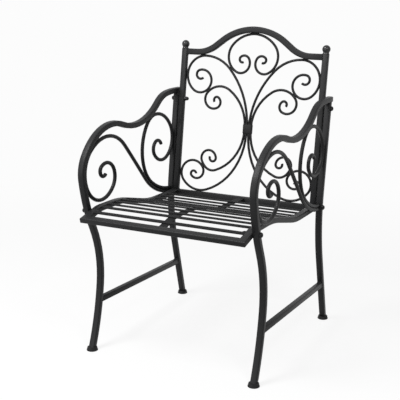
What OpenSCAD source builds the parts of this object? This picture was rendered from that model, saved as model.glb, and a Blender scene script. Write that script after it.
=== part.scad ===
// Garden chair of bent steel tube and round rod, with scrolled sides and a scrolled back.
// +Z is up, the chair faces -Y, and the origin is on the floor at the middle of its outline.
// Left and right are as seen by someone who stands in front of the chair.

/* [Tube and rod] */
// Width of the side frame and back tube, across the chair
tube_w = 19; // [16:0.5:22]
// Depth of the side frame and back tube, in the plane of its bends
tube_t = 16; // [13:0.5:18]
// Width and height of the straight stretcher bars
stretcher_d = 16; // [12:0.5:18]
// Diameter of the rod in the side scrolls
scroll_d = 11; // [9:0.5:12]
// Diameter of the rod in the back
rod_d = 7.5; // [6:0.5:9]
// Gap left between pieces that rest on each other
touch = 0.1; // [0.05:0.05:0.3]

/* [Side frames] */
// Distance between the middle planes of the two side frames
side_spacing = 539; // [500:1:580]
// Lean of the back away from upright, in degrees
recline = 7.5; // [5:0.5:10]
// Distance behind the seat's middle at which the back posts stand, at seat height
post_y = 229.5; // [220:0.5:240]
// Height above the floor of the point that the lean of the back starts from
post_z = 430; // [420:1:440]
// Height at which the rear leg starts to curve back
leg_curve_z = 460; // [440:1:480]
// Outward turn of the rear leg, in degrees
leg_turn = 23.8; // [18:0.2:28]
// Bend radius of the rear leg
leg_r = 550; // [450:10:650]
// How far the arm runs past the middle of the rear post
arm_overhang = 15.7; // [12:0.5:25]
// Height of the stretcher at the front leg
stretcher_front_z = 150.5; // [120:0.5:180]
// Height of the stretcher at the rear leg
stretcher_rear_z = 134.6; // [110:0.5:170]
// Height at which the upper side scroll leaves the rear post
scroll_z = 416.2; // [405:0.2:430]

/* [Feet] */
// Diameter of a foot cap on the floor
cap_d = 35; // [32:0.5:40]
// Diameter of a foot cap at its top
cap_top_d = 30; // [29:0.5:34]
// Height of a foot cap
cap_h = 11; // [9:0.5:14]
// Thickness of a foot cap under the leg
cap_floor = 3; // [2:0.5:4]
// Clearance of the leg in its foot cap
cap_gap = 0.1; // [0.05:0.05:0.2]

/* [Seat] */
// Width of the seat rails
seat_w = 23; // [20:0.5:26]
// Height of the seat rails
seat_h = 16; // [14:0.5:18]
// Upward slope of the seat at its front edge, in degrees
front_slope = 14; // [10:0.5:18]
// Number of slats
slat_count = 13; // [9:1:13]
// Distance from slat to slat, along the curve of the seat
slat_pitch = 36.8; // [30:0.2:38]
// Distance of the first slat from the front edge, along the curve of the seat
slat_first = 48.4; // [40:0.2:60]
// Width of a slat
slat_w = 12; // [10:0.5:16]
// Thickness of a slat
slat_t = 2; // [1.5:0.25:3]
// Width of the strap under the slats
strap_w = 25; // [18:0.5:30]
// Thickness of the strap under the slats
strap_t = 3; // [2:0.25:3.5]

/* [Back] */
// Height of the crest of the top rail, up the slope of the back
crest_v = 527.6; // [515:0.1:550]
// Slope of the top rail's shoulders, in degrees
crest_slope = 37.5; // [34:0.5:40]
// Height of the middle of the collar, up the slope of the back
collar_v = 206; // [196:1:216]
// Height of the middle of the back's bottom rail, up the slope of the back
low_rail_v = -27.2; // [-30:0.1:-24]
// Height of the collar
collar_h = 31; // [24:0.5:36]
// Wall of the collar
collar_wall = 1.4; // [1:0.1:2.5]
// Distance by which the rods of the back sit behind its middle plane
rod_setback = 4; // [0:0.25:4]
// Diameter of the balls on the back posts
ball_d = 26; // [22:0.5:32]

/* [Fasteners] */
// Diameter of the bolts
bolt_d = 6; // [5:0.5:7]
// Clearance of a bolt in its hole, across the diameter
bolt_gap = 0.3; // [0.2:0.05:0.5]
// Diameter of the domed bolt heads
head_d = 15; // [13:0.5:16]
// Height of the domed bolt heads
head_h = 8; // [6:0.25:9]
// Width of the upper cap nuts across their flats
nut_d = 13; // [12:0.5:14]
// Height of the upper cap nuts
nut_h = 15; // [13:0.5:16]
// Width across the flats of the smaller cap nuts inside the seat's front corners
seat_nut_d = 10; // [9:0.5:10.5]
// Height of those smaller cap nuts
seat_nut_h = 11; // [10:0.5:12]
// Thickness of the spacer between a side frame and the back
spacer_t = 2.5; // [2:0.1:4]
// Diameter of the spacers
spacer_d = 16; // [14:0.5:18]
// Height of the upper bolt
upper_bolt_z = 719; // [700:1:722]
// Diameter of the strap's bolt
strap_bolt_d = 4; // [3:0.5:4.5]

/* [Hidden] */
$fn = 48;
iron = "#25272a";

// A bend is [turn in degrees, bend radius] with left turns positive, and a straight is [0, length].
// The front leg and the arm are one tube, listed from the front foot to the end of the arm.
foot_front = [-272.5, 8, 68];
arm_bends = [[15, 765], [34, 315], [-17, 550], [-43, 88], [-75, 180], [58, 230], [-32, 117], [-8, 455]];

// Rod bends of the side frames, from the rear post to the curled end.
front_scroll_bends =
    [[-29, 273.3], [-15, 188], [2, 5190], [84, 140], [98, 89], [92, 85], [163, 48], [195, 17]];
oval_scroll_bends = [[-29, 262], [-99, 132], [-45, 75], [-58, 119], [-178, 69], [-192, 27]];
scroll_heading = 177;
// These bends reach so far forward and so far up before they are fitted to the arm.
scroll_reach = 528.4;
scroll_rise = 322.3;

// Side rail of the seat, from the front edge to the back.
seat_start = [-336.9, 426.4];
seat_bends = [[0, 71.7], [-front_slope, 110], [0, 65], [-13, 380], [0, 103], [13, 355]];

// Rod bends of the back, from the collar to the curled ends, for the right half.
outer_up_bends = [[0, 16], [-6, 114], [-37, 285], [-47, 125], [-141, 64], [-119, 41], [-115, 36], [-207, 15]];
outer_down_bends = [[0, 16], [36, 225], [34, 190], [71, 80], [188, 43], [165, 26], [220, 10]];
inner_up_bends = [[0, 16], [-10, 68], [-47, 144], [-86, 60], [-155, 32], [-118, 20], [-164, 10]];
inner_down_bends = [[0, 16], [8, 85], [61, 149], [70, 38], [13, 78], [201, 27], [208, 11.5]];
centre_bends = [[-8, 86], [-42, 99], [-102, 58], [-146, 32], [-103, 19.5], [-162, 10]];
crest_bends = [[-crest_slope, 180], [0, 30], [crest_slope, 110]];
// The bends above the collar reach so far up before they are fitted to the top rail.
back_rise = 321.6;

// The pose [x, y, heading] reached after one bend.
function step(p, bend) =
    let (turn = bend[0], r = bend[1], h = p[2], s = sign(turn))
    turn == 0
        ? [p[0] + r * cos(h), p[1] + r * sin(h), h]
        : [p[0] + s * r * (sin(h + turn) - sin(h)), p[1] - s * r * (cos(h + turn) - cos(h)), h + turn];

// Part of a bend, as another bend.
function part_of(bend, share) = bend[0] == 0 ? [0, bend[1] * share] : [bend[0] * share, bend[1]];

function bend_length(bend) = bend[0] == 0 ? bend[1] : abs(bend[0]) * PI / 180 * bend[1];

// The poses before each bend and after the last one.
function corners(p, bends, i = 0) =
    i == len(bends) ? [p] : concat([p], corners(step(p, bends[i]), bends, i + 1));

// Pieces that a bend is cut into, so that they stay within a sagitta of the arc and an angle.
function pieces(bend, sag, angle) =
    bend[0] == 0 ? 1 : ceil(max(abs(bend[0]) / angle, abs(bend[0]) * PI / 180 * sqrt(bend[1] / 8 / sag)));

// The poses along a row of bends.
function path(start, bends, sag = 0.1, angle = 16) =
    let (p = corners(start, bends))
    concat(
        [for (i = [0 : len(bends) - 1])
            let (n = pieces(bends[i], sag, angle))
            for (j = [0 : n - 1]) j == 0 ? p[i] : step(p[i], part_of(bends[i], j / n))],
        [p[len(bends)]]);

// The pose at a distance along a row of bends.
function walk(p, bends, s, i = 0) =
    let (l = bend_length(bends[i]))
    s <= l || i == len(bends) - 1
        ? step(p, part_of(bends[i], s / l))
        : walk(step(p, bends[i]), bends, s - l, i + 1);

function last(list) = list[len(list) - 1];
function spot(p) = [p[0], p[1]];
function foremost(line) = min([for (p = line) p[0]]);
function backward(line) = [for (i = [len(line) - 1 : -1 : 0]) [line[i][0], line[i][1], line[i][2] + 180]];
function rest_of(line) = [for (i = [1 : len(line) - 1]) line[i]];

// A line moved sideways by d, to the left where d is positive, with its ends cut at the angles a and b.
function beside(line, d, a = 0, b = 0) =
    [for (i = [0 : len(line) - 1])
        let (p = line[i], s = i == 0 ? d * tan(a) : i == len(line) - 1 ? d * tan(b) : 0)
        [p[0] - d * sin(p[2]) + s * cos(p[2]), p[1] + d * cos(p[2]) + s * sin(p[2])]];

// The outline of a bar of thickness t along a line.
function outline(line, t, a = 0, b = 0) =
    let (back = beside(line, -t / 2, a, b))
    concat(beside(line, t / 2, a, b), [for (i = [len(back) - 1 : -1 : 0]) back[i]]);

// The cut that makes the end of a bar level.
function level(p) = p[2] - 90;

// Where a line of points crosses the height z.
function at_height(points, z) = lookup(z, [for (p = points) [p[1], p[0]]]);

// A line scaled by k[0] and k[1] about a point.
function stretch(line, about, k) =
    [for (p = line)
        [about[0] + k[0] * (p[0] - about[0]),
            about[1] + k[1] * (p[1] - about[1]),
            atan2(k[1] * sin(p[2]), k[0] * cos(p[2]))]];

function distance_to(q, a, b) =
    let (ab = b - a, k = max(0, min(1, (q - a) * ab / (ab * ab))))
    norm(q - a - k * ab);

// The least distance from the points of one line to another line.
function nearness(line, other) =
    min([for (p = line) for (i = [1 : len(other) - 1])
        distance_to(spot(p), spot(other[i - 1]), spot(other[i]))]);

// Planes and places of the side frames.
side_x = side_spacing / 2;
side_in = side_x - tube_w / 2;
side_out = side_x + tube_w / 2;
post_x = side_in - spacer_t - tube_w / 2;
post_in = post_x - tube_w / 2;
lean = tan(recline);

function post_at(z) = post_y + lean * (z - post_z);

// The front leg and the arm, whose foot end is level.
foot_drop = (foot_front[1] - cap_floor) / sin(foot_front[2]);
leg_start = [foot_front[0] - foot_drop * cos(foot_front[2]), cap_floor, foot_front[2]];
arm_turns = concat([[0, foot_drop]], arm_bends);
arm_turned = last(corners(leg_start, arm_turns));
arm_end_y = post_at(arm_turned[1]) + arm_overhang;
arm_line = concat(path(leg_start, arm_turns), [[arm_end_y, arm_turned[1], 0]]);
arm_under_z = arm_turned[1] - tube_t / 2;

// The rear post and leg are one tube, from under the arm to the rear foot.
post_top = [post_at(arm_under_z), arm_under_z, 270 - recline];
leg_turns = [[0, (arm_under_z - leg_curve_z) / cos(recline)], [leg_turn, leg_r]];
leg_turned = last(corners(post_top, leg_turns));
leg_run = (leg_turned[1] - cap_floor) / -sin(leg_turned[2]);
leg_line = path(post_top, concat(leg_turns, [[0, leg_run]]));
post_front = beside(leg_line, -tube_t / 2);
leg_back = beside(arm_line, -tube_t / 2);

// The upper scroll touches the arm and the post, and the lower scroll touches the upper one and the arm.
bar_reach = tube_t / 2 + scroll_d / 2 + touch;
scroll_k = (arm_under_z - scroll_z) / scroll_rise;
oval_start = [at_height(post_front, scroll_z) - touch, scroll_z, scroll_heading];
oval_free = stretch(path(oval_start, oval_scroll_bends, 0.3), oval_start, [1, scroll_k]);
oval_fit = 1 + (nearness(oval_free, arm_line) - bar_reach) / (arm_under_z - scroll_z);
oval_line = stretch(oval_free, oval_start, [1, oval_fit]);
front_z = scroll_z - scroll_d - 4 * touch;
front_start = [at_height(post_front, front_z) - touch, front_z, scroll_heading];
reach_k = (front_start[0] - foremost(arm_line)) / scroll_reach;
front_free = stretch(path(front_start, front_scroll_bends, 0.3), front_start, [reach_k, scroll_k]);
front_fit = 1 + (nearness(front_free, arm_line) - bar_reach) / (front_start[0] - foremost(arm_line));
front_line = stretch(front_free, front_start, [front_fit, 1]);

// The seat.
seat_out = side_in;
seat_in = side_in - seat_w;
seat_pose = [seat_start[0], seat_start[1], front_slope];
seat_bent = last(corners(seat_pose, seat_bends));
seat_end_y = post_at(seat_bent[1]) - tube_t / 2 / cos(recline);
seat_turns = concat(seat_bends, [[0, seat_end_y - seat_bent[0]]]);
seat_line = path(seat_pose, seat_turns);

// The back, in its own plane, u across and v up the slope.
crest = path([0, crest_v, 0], crest_bends);
crest_end = last(crest);
top_half = concat(crest, [[post_in, crest_end[1], 0]]);
top_line = concat([for (i = [len(top_half) - 1 : -1 : 1]) [-top_half[i][0], top_half[i][1], -top_half[i][2]]],
    top_half);
post_top_v = crest_end[1] + tube_w / 2 + 1.5;
post_low_v = low_rail_v - tube_w / 2 - 1.5;

// Rods of the back: each curve is stretched until it touches its neighbours.
rod_pitch = rod_d + touch;
rod_out = post_in - rod_d / 2 - touch;
rail_reach = tube_w / 2 + rod_d / 2 + touch;
outer_from = [rod_pitch / 2, collar_v];
inner_from = [1.5 * rod_pitch + touch, collar_v];

function across(line) = max([for (p = line) p[0]]);
function lowest(line) = min([for (p = line) p[1]]);

outer_up_free = path([outer_from[0], collar_v, 90], outer_up_bends, 0.3);
up_k = [(rod_out - outer_from[0]) / (across(outer_up_free) - outer_from[0]), (crest_v - collar_v) / back_rise];
outer_up_wide = stretch(outer_up_free, outer_from, up_k);
up_fit = 1 + (nearness(outer_up_wide, top_half) - rail_reach) / (crest_end[1] - collar_v);
outer_up = stretch(outer_up_wide, outer_from, [1, up_fit]);
outer_down_free = path([outer_from[0], collar_v, -90], outer_down_bends, 0.3);
down_k = [(rod_out - outer_from[0]) / (across(outer_down_free) - outer_from[0]),
    (collar_v - low_rail_v - rail_reach) / (collar_v - lowest(outer_down_free))];
outer_down = stretch(outer_down_free, outer_from, down_k);

// The inner rods nest in the outer ones from a hand's width past the collar.
function beyond(line, reach) = [for (p = line) if (norm(spot(p) - [0, collar_v]) > reach) p];
function nest(line, about, other, tries = 3) =
    let (
        reach = across(line) - about[0],
        k = 1 + (nearness(beyond(line, reach / 2), other) - rod_pitch) / reach)
    tries == 0 ? line : nest(stretch(line, about, [k, k]), about, other, tries - 1);

inner_up_free = path([inner_from[0], collar_v, 90], inner_up_bends, 0.3);
inner_down_free = path([inner_from[0], collar_v, -90], inner_down_bends, 0.3);
inner_up = nest(stretch(inner_up_free, inner_from, up_k), inner_from, outer_up);
inner_down = nest(stretch(inner_down_free, inner_from, down_k), inner_from, outer_down);
outer_rod_line = concat(backward(outer_up), rest_of(outer_down));
inner_rod_line = concat(backward(inner_up), rest_of(inner_down));

centre_top = [0, crest_v - rail_reach];
centre_free = stretch(path([0, centre_top[1], 0], centre_bends, 0.3), centre_top, up_k);
centre_half = nest(centre_free, centre_top, outer_up);
centre_line = concat([for (i = [len(centre_half) - 1 : -1 : 1])
        [-centre_half[i][0], centre_half[i][1], -centre_half[i][2]]],
    centre_half);

// Fasteners.
bolt_hole = bolt_d + bolt_gap;
upper_bolt = [post_at(upper_bolt_z), upper_bolt_z];
lower_bolt_z = seat_bent[1] + 3.5;
lower_bolt = [(post_at(lower_bolt_z) + at_height(leg_line, lower_bolt_z)) / 2, lower_bolt_z];
front_bolt_z = 443;
front_bolt = [at_height(arm_line, front_bolt_z), front_bolt_z];
thread_in_nut = 7;
head_rim = 2.5;

// The strap under the slats, with its flange turned down on the back's bottom rail.
strap_drop = seat_h / 2 - slat_t - touch - strap_t / 2;
strap_bend_r = 3;
strap_z = seat_bent[1] + strap_drop;
rail_front = [post_y - tube_t / 2 * cos(recline), post_z + tube_t / 2 * sin(recline)];
strap_bend_y = rail_front[0]
    + ((strap_z - strap_bend_r - rail_front[1]) * sin(recline) - strap_bend_r - strap_t / 2 - touch)
    / cos(recline);
strap_seat = concat([walk(seat_pose, seat_turns, seat_w + touch)],
    [for (p = seat_line) if (p[0] > seat_start[0] + seat_w && p[0] < seat_bent[0] + 1) p]);
strap_wave = [for (p = strap_seat)
    [p[0] - strap_drop * sin(p[2]), p[1] + strap_drop * cos(p[2]), p[2]]];
strap_line = concat(strap_wave,
    path([strap_bend_y, strap_z, 0], [[-90 - recline, strap_bend_r], [0, 11]]));
strap_bolt_v = low_rail_v - 3;

// The rear foot is the rearmost point and the seat's front edge the foremost.
front_cap_y = at_height([spot(arm_line[0]), spot(arm_line[1])], cap_h / 2);
rear_cap_y = last(leg_line)[0] - (cap_h / 2 - cap_floor) / -tan(last(leg_line)[2]);
front_edge_y = seat_start[0] - seat_h / 2 * sin(front_slope);
shift_y = -(front_edge_y + rear_cap_y + cap_d / 2) / 2;

module on_right() {
    translate([0, shift_y, 0]) children();
}

module on_left() {
    translate([0, shift_y, 0]) mirror([1, 0, 0]) children();
}

module on_both() {
    on_left() children();
    on_right() children();
}

// Stands a drawing in the (y, z) plane up across the chair, at the distance x.
module upright(x, w) {
    translate([x, 0, 0]) rotate([90, 0, 90]) linear_extrude(w, center = true) children();
}

// Lays children in the plane of the back.
module in_back() {
    translate([0, post_y, post_z]) rotate([90 - recline, 0, 0]) children();
}

// Bends a round rod with eight flats along a line in its own plane.
module rod(line, d) {
    sides = 8;
    r = d / 2 / cos(180 / sides);
    count = len(line);
    ring_points = [for (p = line) for (k = [0 : sides - 1])
        let (a = 360 / sides * (k + 0.5))
        [p[0] - r * cos(a) * sin(p[2]), p[1] + r * cos(a) * cos(p[2]), r * sin(a)]];
    walls = [for (i = [0 : count - 2]) for (k = [0 : sides - 1])
        let (a = i * sides + k, b = i * sides + (k + 1) % sides)
        each [[a, a + sides, b + sides], [a, b + sides, b]]];
    start_face = [for (k = [0 : sides - 1]) k];
    end_face = [for (k = [sides - 1 : -1 : 0]) (count - 1) * sides + k];
    polyhedron(ring_points, concat(walls, [start_face, end_face]));
}

module side_rod(line) {
    color(iron) translate([side_x, 0, 0]) rotate([90, 0, 90]) rod(line, scroll_d);
}

// A hole along X at a place in the (y, z) plane.
module cross_hole(place, d) {
    translate([0, place[0], place[1]]) rotate([0, 90, 0]) cylinder(h = side_spacing, d = d);
}

module arm_leg_tube() {
    color(iron) difference() {
        upright(side_x, tube_w) polygon(outline(arm_line, tube_t, level(leg_start), 0));
        cross_hole(front_bolt, bolt_hole);
    }
}

module rear_leg_tube() {
    color(iron) difference() {
        upright(side_x, tube_w)
            polygon(outline(leg_line, tube_t, level(post_top), level(last(leg_line))));
        cross_hole(upper_bolt, bolt_hole);
        cross_hole(lower_bolt, bolt_hole);
    }
}

module stretcher() {
    top = stretcher_d / 2;
    color(iron) upright(side_x, stretcher_d) polygon([
        for (z = [stretcher_front_z - top, stretcher_front_z + top]) [at_height(leg_back, z) + touch, z],
        for (z = [stretcher_rear_z + top, stretcher_rear_z - top]) [at_height(post_front, z) - touch, z]
    ]);
}

module front_scroll() {
    side_rod(front_line);
}

module oval_scroll() {
    side_rod(oval_line);
}

// A flared cap on the floor, with a socket for the leg.
module foot_cap(y, leg) {
    color(iron) difference() {
        translate([side_x, y, 0]) cylinder(h = cap_h, d1 = cap_d, d2 = cap_top_d);
        upright(side_x, tube_w + 2 * cap_gap) polygon(leg);
    }
}

module front_foot_cap() {
    leg = [for (i = [0 : 2]) arm_line[i]];
    foot_cap(front_cap_y, outline(leg, tube_t + 2 * cap_gap, level(leg_start), 0));
}

module rear_foot_cap() {
    leg = [for (i = [len(leg_line) - 2 : len(leg_line) - 1]) leg_line[i]];
    foot_cap(rear_cap_y, outline(leg, tube_t + 2 * cap_gap, 0, level(last(leg))));
}

module back_post() {
    color(iron) difference() {
        in_back() translate([post_in, post_low_v, -tube_t / 2])
            cube([tube_w, post_top_v - post_low_v, tube_t]);
        cross_hole(upper_bolt, bolt_hole);
        cross_hole(lower_bolt, bolt_hole);
    }
}

// A ball on a short neck, on top of a back post.
module ball_finial() {
    neck_h = 3;
    color(iron) in_back() translate([post_x, post_top_v, 0]) rotate([-90, 0, 0]) union() {
        cylinder(h = neck_h, d = tube_t - 2);
        difference() {
            translate([0, 0, ball_d / 2 + 0.6]) sphere(d = ball_d);
            translate([0, 0, -1]) cylinder(h = 1, d = ball_d);
        }
    }
}

module back_rod(line) {
    color(iron) in_back() translate([0, 0, -rod_setback]) rod(line, rod_d);
}

module outer_back_rod() {
    back_rod(outer_rod_line);
}

module inner_back_rod() {
    back_rod(inner_rod_line);
}

module centre_back_rod() {
    back_rod(centre_line);
}

module top_rail() {
    color(iron) in_back() linear_extrude(tube_t, center = true) polygon(outline(top_line, tube_w));
}

module back_bottom_rail() {
    color(iron) in_back() difference() {
        translate([0, low_rail_v, 0]) cube([2 * post_in, tube_w, tube_t], center = true);
        translate([0, strap_bolt_v, -tube_t]) cylinder(h = 2 * tube_t, d = strap_bolt_d + bolt_gap);
    }
}

// A band that gathers the four rods of the back.
module collar() {
    inside = [4 * rod_pitch + 3 * touch, collar_h + 2, rod_d + 2 * touch];
    wall = 2 * collar_wall;
    color(iron) in_back() translate([0, collar_v, -rod_setback]) difference() {
        cube([inside[0] + wall, collar_h, inside[2] + wall], center = true);
        cube(inside, center = true);
    }
}

// Lays children in the tilted plane of the seat's front edge.
module at_front_edge() {
    translate([0, seat_start[0], seat_start[1]]) rotate([front_slope, 0, 0]) children();
}

module seat_front_rail() {
    color(iron) at_front_edge() linear_extrude(seat_h, center = true)
        polygon([[-seat_out, 0], [seat_out, 0], [seat_in, seat_w], [-seat_in, seat_w]]);
}

// A wavy side rail, mitred at the front, with a bolted tab between the rear post and the back.
module seat_side_rail() {
    tab_r = seat_h / 2;
    tab_t = spacer_t - 2 * touch;
    color(iron) difference() {
        union() {
            upright(seat_out - seat_w / 2, seat_w) polygon(outline(seat_line, seat_h, 0, recline));
            upright(seat_out - touch - tab_t / 2, tab_t) union() {
                translate([lower_bolt[0], seat_bent[1]]) circle(tab_r);
                translate([seat_bent[0], seat_bent[1] - tab_r])
                    square([lower_bolt[0] - seat_bent[0], seat_h]);
            }
        }
        at_front_edge() linear_extrude(seat_h + 2, center = true)
            polygon([[seat_in - 1, seat_w + 1], [seat_out + 1, -1], [seat_in - 1, -1]]);
        cross_hole(front_bolt, bolt_hole);
        cross_hole(lower_bolt, bolt_hole);
    }
}

// A flat bar whose top is flush with the side rails.
module slat(i) {
    p = walk(seat_pose, seat_turns, slat_first + (i - 1) * slat_pitch);
    color(iron) translate([0, p[0], p[1]]) rotate([p[2], 0, 0])
        translate([0, 0, (seat_h - slat_t) / 2]) cube([2 * seat_in, slat_w, slat_t], center = true);
}

module centre_strap() {
    color(iron) difference() {
        upright(0, strap_w) polygon(outline(strap_line, strap_t));
        in_back() translate([0, strap_bolt_v, 0]) cylinder(h = 2 * tube_t, d = strap_bolt_d + bolt_gap);
    }
}

// A low dome on a flat round base, with its base at z = 0.
module dome(d, h) {
    r = (h * h + d * d / 4) / (2 * h);
    intersection() {
        translate([0, 0, h - r]) sphere(r);
        cylinder(h = h + 1, d = d + 1);
    }
}

// A bolt whose head sits on the outer face of the side frame.
module bolt(place, length) {
    color(iron) translate([side_out, place[0], place[1]]) rotate([0, 90, 0]) union() {
        cylinder(h = head_rim, d = head_d);
        translate([0, 0, head_rim]) dome(head_d, head_h - head_rim);
        translate([0, 0, -length]) cylinder(h = length + 0.5, d = bolt_d);
    }
}

module front_bolts() {
    bolt(front_bolt, tube_w + seat_w + thread_in_nut);
}

module upper_bolts() {
    bolt(upper_bolt, 2 * tube_w + spacer_t + thread_in_nut);
}

// The lower bolt is threaded into the back post and stops short of the bottom rail.
module lower_bolts() {
    bolt(lower_bolt, 2 * tube_w + spacer_t - 1);
}

// A cap nut on an inner face at the distance x, d wide and h high, pointing to the middle of the chair.
module cap_nut(x, place, d, h) {
    hex_h = h / 2;
    color(iron) translate([x, place[0], place[1]]) rotate([0, -90, 0]) difference() {
        union() {
            cylinder(h = hex_h, d = d / cos(30), $fn = 6);
            translate([0, 0, hex_h]) dome(d - 0.5, h - hex_h);
        }
        translate([0, 0, -1]) cylinder(h = thread_in_nut + 1.2, d = bolt_hole);
    }
}

module cap_nuts() {
    cap_nut(seat_in, front_bolt, seat_nut_d, seat_nut_h);
    cap_nut(post_in, upper_bolt, nut_d, nut_h);
}

// A washer that keeps the back clear of the side frame at the upper bolt.
module spacer() {
    color(iron) translate([side_in - spacer_t, upper_bolt[0], upper_bolt[1]]) rotate([0, 90, 0]) difference() {
        cylinder(h = spacer_t, d = spacer_d);
        translate([0, 0, -1]) cylinder(h = spacer_t + 2, d = bolt_hole);
    }
}

module strap_bolt() {
    face = tube_t / 2 + touch + strap_t;
    color(iron) in_back() translate([0, strap_bolt_v, face]) union() {
        dome(2 * strap_bolt_d, strap_bolt_d / 2);
        translate([0, 0, -face - tube_t / 2 - strap_bolt_d]) cylinder(h = face + tube_t / 2 + strap_bolt_d + 0.2, d = strap_bolt_d);
    }
}

module strap_nut() {
    color(iron) in_back() translate([0, strap_bolt_v, -tube_t / 2 - 0.8 * strap_bolt_d]) difference() {
        cylinder(h = 0.8 * strap_bolt_d, d = 1.75 * strap_bolt_d / cos(30), $fn = 6);
        translate([0, 0, -1]) cylinder(h = strap_bolt_d + 1, d = strap_bolt_d + bolt_gap);
    }
}

on_left() arm_leg_tube();  // left_arm_leg_tube
on_right() arm_leg_tube();  // right_arm_leg_tube
on_left() rear_leg_tube();  // left_rear_leg_tube
on_right() rear_leg_tube();  // right_rear_leg_tube
on_left() stretcher();  // left_stretcher
on_right() stretcher();  // right_stretcher
on_left() front_scroll();  // left_front_scroll
on_right() front_scroll();  // right_front_scroll
on_left() oval_scroll();  // left_oval_scroll
on_right() oval_scroll();  // right_oval_scroll
on_left() front_foot_cap();  // left_front_foot_cap
on_right() front_foot_cap();  // right_front_foot_cap
on_left() rear_foot_cap();  // left_rear_foot_cap
on_right() rear_foot_cap();  // right_rear_foot_cap
on_left() back_post();  // left_back_post
on_right() back_post();  // right_back_post
on_left() ball_finial();  // left_ball_finial
on_right() ball_finial();  // right_ball_finial
on_left() outer_back_rod();  // left_outer_back_rod
on_right() outer_back_rod();  // right_outer_back_rod
on_left() inner_back_rod();  // left_inner_back_rod
on_right() inner_back_rod();  // right_inner_back_rod
on_left() seat_side_rail();  // left_seat_side_rail
on_right() seat_side_rail();  // right_seat_side_rail
on_right() top_rail();
on_right() back_bottom_rail();
on_right() centre_back_rod();
on_right() collar();
on_right() seat_front_rail();
on_right() centre_strap();
for (i = [1 : slat_count]) {
    on_right() slat(i);
}
on_both() front_bolts();
on_both() upper_bolts();
on_both() lower_bolts();
on_both() cap_nuts();
on_both() spacer();  // spacers
on_right() strap_bolt();
on_right() strap_nut();
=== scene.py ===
import bpy
import math
from mathutils import Matrix, Vector


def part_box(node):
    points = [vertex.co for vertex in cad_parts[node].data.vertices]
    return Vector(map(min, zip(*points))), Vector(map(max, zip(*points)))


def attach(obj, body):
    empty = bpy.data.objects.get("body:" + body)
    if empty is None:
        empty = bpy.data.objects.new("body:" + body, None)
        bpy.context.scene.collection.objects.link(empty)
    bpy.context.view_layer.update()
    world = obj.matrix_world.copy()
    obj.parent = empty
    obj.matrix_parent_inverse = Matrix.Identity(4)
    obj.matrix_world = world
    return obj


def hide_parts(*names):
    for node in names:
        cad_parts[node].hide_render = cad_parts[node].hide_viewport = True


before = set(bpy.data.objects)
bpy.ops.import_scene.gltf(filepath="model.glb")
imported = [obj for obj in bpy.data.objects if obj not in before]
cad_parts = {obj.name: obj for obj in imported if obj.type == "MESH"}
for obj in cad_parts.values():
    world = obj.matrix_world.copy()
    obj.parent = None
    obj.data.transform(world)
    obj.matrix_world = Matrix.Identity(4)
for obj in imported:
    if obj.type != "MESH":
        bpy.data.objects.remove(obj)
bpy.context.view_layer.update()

bpy.ops.object.select_all(action="DESELECT")
mm = 0.001


# Places taken from the frame

def middleOf(node):
    low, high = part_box(node)
    return (Vector(low) + Vector(high)) / 2


def sizeOf(node):
    low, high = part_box(node)
    return Vector(high) - Vector(low)


lean = math.radians(7.5)  # the back leans this far from upright
postMiddle = middleOf("right_back_post")
sideX = middleOf("right_arm_leg_tube").x
backX = postMiddle.x
backZero = 0.430  # height from which distances up the back are measured


def postY(z):
    return postMiddle.y + math.tan(lean) * (z - postMiddle.z)


class Plane:
    # a flat working plane: across and up lie in it, out is square to it

    def __init__(self, origin, across, up):
        self.origin, self.across, self.up = Vector(origin), Vector(across), Vector(up)
        self.out = self.across.cross(self.up)

    def point(self, x, y, off=0.0):
        return self.origin + x * self.across + y * self.up + off * self.out

    def ahead(self, heading):
        h = math.radians(heading)
        return math.cos(h) * self.across + math.sin(h) * self.up

    def turned(self, pose, off=0.0):
        # a frame with local z along the heading and local x square to the plane
        ahead = self.ahead(pose[2])
        left = self.ahead(pose[2] + 90)
        frameAt = Matrix((self.out, -left, ahead)).transposed().to_4x4()
        frameAt.translation = self.point(pose[0], pose[1], off)
        return frameAt


sidePlane = Plane((sideX, 0, 0), (0, 1, 0), (0, 0, 1))
backPlane = Plane((0, postY(backZero), backZero), (1, 0, 0), (0, math.sin(lean), math.cos(lean)))


# Rows of bends: (turn in degrees, radius in mm) is a bend and (0, length in mm) a straight.
# A pose is a place in a plane and the heading there.

stationStep = 3  # mm between the stations on a middle line


def poseAfter(pose, turn, reach):
    x, y, heading = pose
    a, b = math.radians(heading), math.radians(heading + turn)
    if turn == 0:
        return (x + reach * mm * math.cos(a), y + reach * mm * math.sin(a), heading)
    r = math.copysign(reach * mm, turn)
    return (x + r * (math.sin(b) - math.sin(a)), y - r * (math.cos(b) - math.cos(a)),
            heading + turn)


def runLength(turn, reach):
    return reach if turn == 0 else abs(math.radians(turn)) * reach


def poseAt(pose, bends, distance):
    for turn, reach in bends:
        length = runLength(turn, reach)
        if distance <= length:
            share = distance / length
            return poseAfter(pose, turn * share, reach if turn else reach * share)
        distance -= length
        pose = poseAfter(pose, turn, reach)
    return poseAfter(pose, 0, distance)


def stations(pose, bends):
    # poses at even distances along a row of bends
    total = sum(runLength(turn, reach) for turn, reach in bends)
    return [poseAt(pose, bends, i * stationStep) for i in range(int(total / stationStep) + 1)]


def endOf(pose, bends):
    for turn, reach in bends:
        pose = poseAfter(pose, turn, reach)
    return pose


def otherWay(bends):
    return [(-turn, reach) for turn, reach in bends]


# Mesh helpers

def only(piece):
    if bpy.context.object and bpy.context.object.mode != "OBJECT":
        bpy.ops.object.mode_set(mode="OBJECT")
    bpy.ops.object.select_all(action="DESELECT")
    piece.select_set(True)
    bpy.context.view_layer.objects.active = piece


def editing(piece, kind="VERT"):
    # opens a piece in edit mode with all of it selected
    only(piece)
    bpy.ops.object.mode_set(mode="EDIT")
    bpy.ops.mesh.select_mode(type=kind)
    bpy.ops.mesh.select_all(action="SELECT")


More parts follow.
